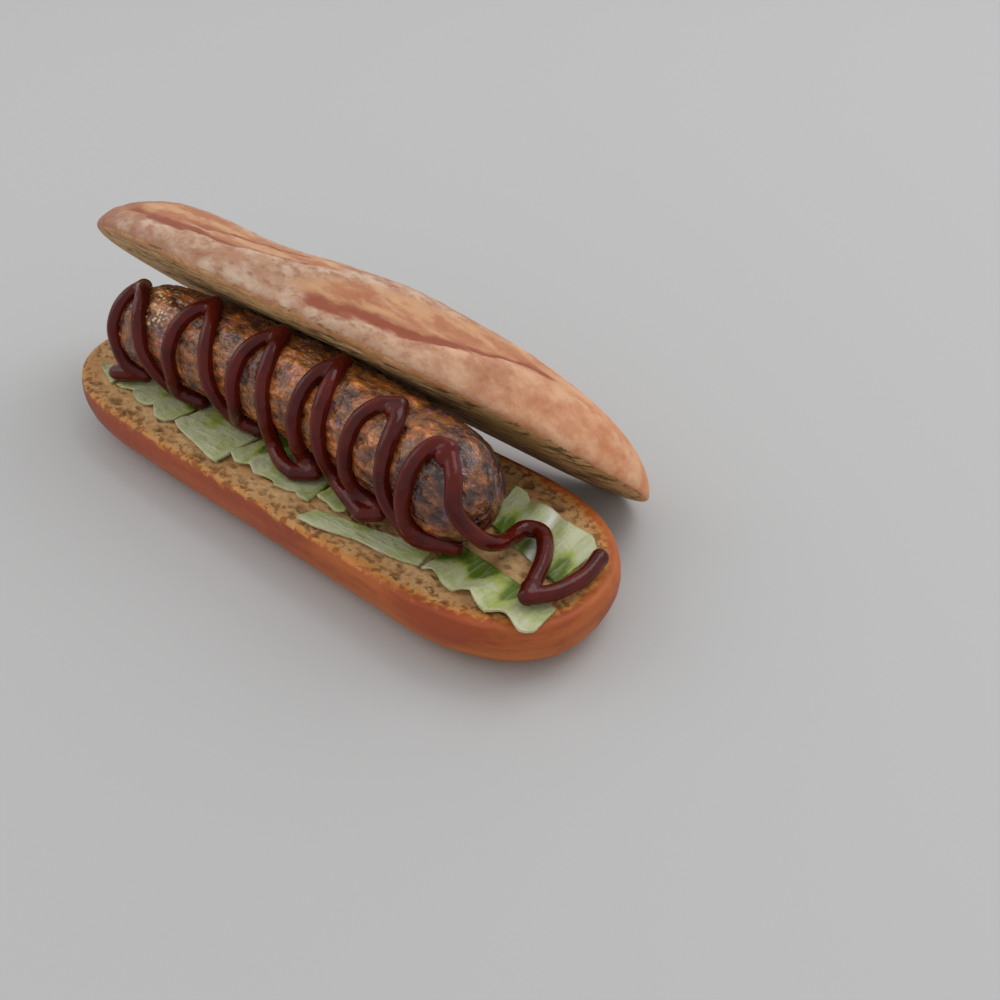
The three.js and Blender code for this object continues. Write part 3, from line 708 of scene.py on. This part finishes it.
class HOTDOG_OT_upper_roll(bpy.types.Operator):
    """Dress the upper half of the roll."""
    bl_idname = "hot_dog.upper_roll"
    bl_label = "Upper half of the roll"

    def execute(self, context):
        settings = context.scene.hot_dog_roll
        form = merged_copy("top_bread")
        turned = ROLL_TURN.to_matrix()
        back = turned.transposed()
        level = min((back @ (v.co / MM - ROLL_MIDDLE)).z for v in form.verts)
        middle = ROLL_MIDDLE + Vector((0, 0, level / turned[2][2]))
        cut = turned @ Vector((0, 0, 1))

        def flat(spot):
            """The place in the roll as it was baked: cut face down and unbent."""
            local = back @ (spot - middle)
            local.y -= ROLL_BOW * ((local.x / (ROLL_LENGTH / 2)) ** 2 - 0.5)
            return local

        corners = [flat(v.co / MM) for v in form.verts]
        outer = {}
        for spot in corners:
            sector = round(math.atan2(spot.y / ROLL_WIDTH_SHARE, spot.x) * RIM_CORNERS / (2 * math.pi))
            if spot.z < 0.05 and (sector not in outer or spot.length > outer[sector].length):
                outer[sector] = spot
        rim = rim_finder(outer.values())
        piece = refined("upper_roll", form, levels=2, cell=settings.cell, relax=3)

        def bake(spot, normal):
            local = flat(spot)
            distance = rim.find(local)[2]
            on_cut = normal.dot(cut) < -0.55 and local.z < 1.2
            inward = distance if on_cut else -distance
            if inward > 0:
                crumb = smooth_step(0.6, 2.5, inward)
                pore = crumb * max(pit(local, 4.6, 2.4, 0.5, 5.3), 0.7 * pit(local, 2.6, 2, 0.45, 1.4))
                shift = cut * (0.8 * pore + crumb * 0.1)
                return shift, {"inward": inward, "pore": pore, "hollow": 0, "lip": 0}
            turn = math.degrees(math.atan2(max(local.z, 0), -local.y))
            hollow = max(hollow_mark(local.x, turn, slash) for slash in SLASHES)
            wander = turn + 3 * cloud(Vector((local.x / 2.4, local.y, local.z)), 5, 11)
            lip = max(stroke_mark(local.x, wander, stroke) for stroke in STROKES)
            fade = smooth_step(0, 4, local.z)
            ridge = -0.4 * lip - 0.25 * hollow * (1 + cloud(local, 5, 6))
            bulge = 0.22 * cloud(local, 12, 3) + 0.09 * cloud(local, 3.2, 5) - 0.12
            facts = {"inward": inward, "pore": 0, "hollow": hollow * fade, "lip": lip * fade}
            return normal * fade * (bulge + ridge), facts

        shape_skin(piece, bake)
        stand_in(piece, "top_bread", upper_finish(settings))
        return {"FINISHED"}


def sausage_radius(x):
    """The sausage's radius at x: even in the middle, and rounded off over each end's reach."""
    past = (abs(x - SAUSAGE_MIDDLE) - (SAUSAGE_HALF - SAUSAGE["end_reach"])) / SAUSAGE["end_reach"]
    power = SAUSAGE["end_power"]
    return SAUSAGE["radius"] * (1 - min(max(past, 0), 1) ** power) ** (1 / power)


def sausage_centre_y(x):
    """Where the bowed sausage's axis lies across the roll at x."""
    return SAUSAGE["ends_y"] + SAUSAGE["bow"] * (1 - ((x - SAUSAGE_MIDDLE) / SAUSAGE_HALF) ** 2)


def sausage_point(x, degrees, lift):
    """A place over the sausage's skin, in millimetres."""
    angle = math.radians(degrees)
    slope = sausage_radius(x - 0.5) - sausage_radius(x + 0.5)
    outward = Vector((slope, math.cos(angle), math.sin(angle))).normalized()
    radius = sausage_radius(x)
    skin = Vector((
        x, sausage_centre_y(x) + radius * math.cos(angle),
        SAUSAGE["axis_height"] + radius * math.sin(angle)))
    return skin + outward * lift


class HOTDOG_OT_sausage(bpy.types.Operator):
    """Model the browned sausage."""
    bl_idname = "hot_dog.sausage"
    bl_label = "Sausage"

    def execute(self, context):
        settings = context.scene.hot_dog_sausage
        form = bmesh.new()
        stations = 260
        line = []
        for i in range(stations + 1):
            turn = math.pi * (i / stations - 0.5)
            share = 0.8 * (2 * i / stations - 1) + 0.2 * math.sin(turn)
            x = SAUSAGE_MIDDLE + SAUSAGE_HALF * share
            radius = 0 if i in (0, stations) else sausage_radius(x)
            line.append(form.verts.new((x * MM, 0, radius * MM)))
        for first, second in zip(line, line[1:]):
            form.edges.new((first, second))
        bmesh.ops.spin(
            form, geom=form.verts[:] + form.edges[:], cent=(0, 0, 0), axis=(1, 0, 0),
            angle=2 * math.pi, steps=170, use_merge=True)
        bmesh.ops.remove_doubles(form, verts=form.verts, dist=0.01 * MM)
        bmesh.ops.recalc_face_normals(form, faces=form.faces)
        piece = refined("sausage_skin", form)
        wrinkle = settings.wrinkle / MM

        def grill(spot, normal):
            to_axis = Vector((0, sausage_centre_y(spot.x), SAUSAGE["axis_height"]))
            lumps = 0.55 * cloud(spot, 13, 1) + 0.75 * cloud(spot, 4.2, 2) + 0.35 * cloud(spot, 1.8, 3)
            return to_axis + normal * wrinkle * (lumps - 0.75), {}

        shape_skin(piece, grill)
        stand_in(piece, "sausage", sausage_finish(settings))
        return {"FINISHED"}


def sauce_stretches():
    """The route of the sauce, as stretches that bend gently between its sharp turns."""
    curl = []
    for i in range(CURL["points"]):
        turn = 2 * math.pi * CURL["turns"] * i / (CURL["points"] - 1) + CURL["start_turn"]
        x = CURL["x"] + CURL["radius"] * math.cos(turn)
        curl.append(Vector((x, CURL["y"] + CURL["radius"] * math.sin(turn), CURL["height"])))
    feet = []
    for foot in SAUCE_FEET:
        spots = [sausage_point(x, angle, SAUCE_LIFT + reach) for x, angle, reach in foot]
        for spot in spots:
            spot.z = max(spot.z, SAUCE_LOWEST)
        feet.append(spots)
    stretches = [curl + [feet[0][0]]]
    for i, (x, angle, bulge, slant) in enumerate(SAUCE_TOPS):
        rise = [sausage_point(x - share * bulge, turn, SAUCE_LIFT) for share, turn in STRAND_UP]
        crown = sausage_point(x, angle, SAUCE_LIFT)
        stretches.append(feet[i][FOOT_TIP[i]:] + rise + [crown])
        if i + 1 < len(feet):
            fall = [sausage_point(x + share * slant, turn, SAUCE_LIFT) for share, turn in STRAND_DOWN]
            stretches.append([crown] + fall + feet[i + 1][:FOOT_TIP[i + 1] + 1])
    last_top = SAUCE_TOPS[-1][0]
    leave = [sausage_point(last_top + ahead, turn, SAUCE_LIFT) for ahead, turn in TAIL_START]
    stretches.append(leave + [Vector(spot) for spot in TAIL])
    stretches.append([Vector(spot) for spot in TAIL_END])
    return stretches


def lay_rope(curve, points):
    """Adds one stretch of rope that goes through the points in an even (centripetal) curve."""
    ends = [2 * points[0] - points[1]] + points + [2 * points[-1] - points[-2]]
    spline = curve.splines.new("BEZIER")
    spline.bezier_points.add(len(points) - 1)
    spline.resolution_u = 10
    knots = spline.bezier_points
    for i, point in enumerate(points):
        knots[i].co = point * MM
        knots[i].handle_left_type = knots[i].handle_right_type = "FREE"
        knots[i].handle_left = knots[i].handle_right = point * MM
        knots[i].radius = 1.04 + 0.07 * noise.noise(point / 9)
    for i in range(len(points) - 1):
        before, here, there, after = ends[i:i + 4]
        gap0, gap1, gap2 = [
            max((b - a).length ** 0.5, 1e-4) for a, b in ((before, here), (here, there), (there, after))]
        first = (here - before) / gap0 - (there - before) / (gap0 + gap1) + (there - here) / gap1
        last = (there - here) / gap1 - (after - here) / (gap1 + gap2) + (after - there) / gap2
        knots[i].handle_right = (here + first * gap1 / 3) * MM
        knots[i + 1].handle_left = (there - last * gap1 / 3) * MM


class HOTDOG_OT_sauce(bpy.types.Operator):
    """Drizzle the sauce over the sausage."""
    bl_idname = "hot_dog.sauce"
    bl_label = "Sauce"

    def execute(self, context):
        settings = context.scene.hot_dog_sauce
        route = bpy.data.curves.new("sauce_route", "CURVE")
        route.dimensions = "3D"
        route.bevel_depth = settings.radius
        route.bevel_resolution = 4
        route.use_fill_caps = True
        stretches = sauce_stretches()
        for points in stretches:
            lay_rope(route, points)
        rope = bpy.data.objects.new("sauce_route", route)
        context.scene.collection.objects.link(rope)
        context.view_layer.update()
        tubes = bpy.data.meshes.new_from_object(rope.evaluated_get(context.evaluated_depsgraph_get()))
        form = bmesh.new()
        form.from_mesh(tubes)
        bmesh.ops.remove_doubles(form, verts=form.verts, dist=0.001 * MM)
        drops = [(points[-1], STRAND_DROP) for points in stretches] + [(stretches[0][0], FIRST_DROP)]
        for x, angle, *_ in SAUCE_TOPS:
            drops.append((sausage_point(x, angle + TOP_DROP_TURN, TOP_DROP_LIFT), TOP_DROP))
        drops.append((Vector(TAIL_END[0]).lerp(Vector(TAIL[-3]), 0.2), TAIL_DROP))
        for spot, share in drops:
            blob = bmesh.ops.create_icosphere(form, subdivisions=3, radius=settings.radius * share)
            bmesh.ops.translate(form, verts=blob["verts"], vec=spot * MM)
        bpy.data.objects.remove(rope)
        piece = refined("sauce_drizzle", form, cell=settings.cell, relax=20)
        stand_in(piece, "sausage", sauce_finish(settings))
        return {"FINISHED"}


class HOTDOG_OT_lettuce(bpy.types.Operator):
    """Lay the lettuce leaves."""
    bl_idname = "hot_dog.lettuce"
    bl_label = "Lettuce"

    def execute(self, context):
        settings = context.scene.hot_dog_lettuce
        looks = {lengthwise: lettuce_finish(settings, lengthwise) for lengthwise in (False, True)}
        for node, (x0, x1, inner, outer, folds, phase, green, lengthwise) in LEAVES.items():
            form = merged_copy(node)
            sharpen(form)
            piece = refined(node + "_leaf", form, levels=3)

            def crinkle(spot, normal):
                along = min(max((spot.x - x0) / (x1 - x0), 0), 1)
                start = inner[0] + (inner[1] - inner[0]) * along
                end = outer[0] + (outer[1] - outer[0]) * along
                across = min(max((spot.y - start) / (end - start), 0), 1)
                ripple = 0.14 * cloud(spot, 3.4, 7) + 0.05 * cloud(spot, 1.3, 9)
                # The fold value greens and darkens the fold valleys and the inner edge by the sausage:
                # partly the leaf's own green, partly painted shade.
                wave = 0.5 - 0.5 * math.sin(2 * math.pi * folds * along + phase + 1.2 * across)
                outer_part = 1 - 0.55 * smooth_step(0.4, 0.9, across)
                fold = green * (0.8 * outer_part * wave ** 2 + 0.8 * smooth_step(0.75, 0.2, across))
                if node == "lettuce_ruffled":
                    fold *= 1 - smooth_step(0.62, 0.8, along)
                rib = 0
                if node == "lettuce_back":
                    rib = math.exp(-(((along - 0.62 + 0.16 * across) / 0.05) ** 2))
                if node == "lettuce_wavy":
                    rib = 0.8 * smooth_step(0.5, 0.25, across) * smooth_step(0.35, 0.5, along)
                return normal * ripple, {"across": across, "fold": fold, "rib": rib}

            shape_skin(piece, crinkle)
            stand_in(piece, node, looks[lengthwise])
        return {"FINISHED"}


class HOTDOG_OT_stage(bpy.types.Operator):
    """Set the floor, the light and the camera."""
    bl_idname = "hot_dog.stage"
    bl_label = "Stage"

    def execute(self, context):
        settings = context.scene.hot_dog_stage
        form = bmesh.new()
        bmesh.ops.create_grid(form, x_segments=2, y_segments=2, size=3)
        mesh = bpy.data.meshes.new("floor")
        form.to_mesh(mesh)
        form.free()
        floor = bpy.data.objects.new("floor", mesh)
        context.scene.collection.objects.link(floor)
        paint = bpy.data.materials.new("Floor")
        paint.use_nodes = True
        shader = paint.node_tree.nodes["Principled BSDF"]
        shader.inputs["Base Color"].default_value = settings.floor
        shader.inputs["Roughness"].default_value = 0.6
        mesh.materials.append(paint)

        world = bpy.data.worlds.new("Studio")
        world.use_nodes = True
        sky = world.node_tree.nodes["Background"]
        sky.inputs["Color"].default_value = (1, 1, 1, 1)
        sky.inputs["Strength"].default_value = SKY_STRENGTH
        context.scene.world = world
        for name, place, power, size in LIGHTS:
            lamp = bpy.data.lights.new(name, "AREA")
            lamp.energy = power
            lamp.size = size
            light = bpy.data.objects.new(name, lamp)
            light.location = place
            light.rotation_euler = (-Vector(place)).to_track_quat("-Z", "Y").to_euler()
            context.scene.collection.objects.link(light)

        lens = bpy.data.cameras.new("Camera")
        lens.lens = settings.lens
        lens.sensor_width = 36
        lens.clip_start = 0.01
        camera = bpy.data.objects.new("Camera", lens)
        camera.location = Vector(CAMERA_PLACE) * MM
        camera.rotation_euler = Vector(CAMERA_AIM).to_track_quat("-Z", "Y").to_euler()
        context.scene.collection.objects.link(camera)
        context.scene.camera = camera
        context.scene.view_settings.view_transform = "Standard"
        return {"FINISHED"}


class HOTDOG_PT_panel(bpy.types.Panel):
    """Steps that dress the hot dog."""
    bl_label = "Hot dog"
    bl_idname = "HOTDOG_PT_panel"
    bl_space_type = "VIEW_3D"
    bl_region_type = "UI"
    bl_category = "Hot Dog"

    def draw(self, context):
        for operator in OPERATORS:
            self.layout.operator(operator.bl_idname)


OPERATORS = (
    HOTDOG_OT_stage, HOTDOG_OT_lower_roll, HOTDOG_OT_upper_roll, HOTDOG_OT_sausage, HOTDOG_OT_sauce,
    HOTDOG_OT_lettuce,
)
SETTINGS = {
    "hot_dog_roll": RollSettings,
    "hot_dog_sausage": SausageSettings,
    "hot_dog_sauce": SauceSettings,
    "hot_dog_lettuce": LettuceSettings,
    "hot_dog_stage": StageSettings,
}


def register():
    for name, group in SETTINGS.items():
        bpy.utils.register_class(group)
        setattr(bpy.types.Scene, name, bpy.props.PointerProperty(type=group))
    for operator in OPERATORS:
        bpy.utils.register_class(operator)
    bpy.utils.register_class(HOTDOG_PT_panel)


def unregister():
    bpy.utils.unregister_class(HOTDOG_PT_panel)
    for operator in reversed(OPERATORS):
        bpy.utils.unregister_class(operator)
    for name, group in reversed(SETTINGS.items()):
        delattr(bpy.types.Scene, name)
        bpy.utils.unregister_class(group)


def main():
    register()
    bpy.ops.hot_dog.stage()
    bpy.ops.hot_dog.lower_roll()
    bpy.ops.hot_dog.upper_roll()
    bpy.ops.hot_dog.sausage()
    bpy.ops.hot_dog.sauce()
    bpy.ops.hot_dog.lettuce()


if __name__ == "__main__":
    main()
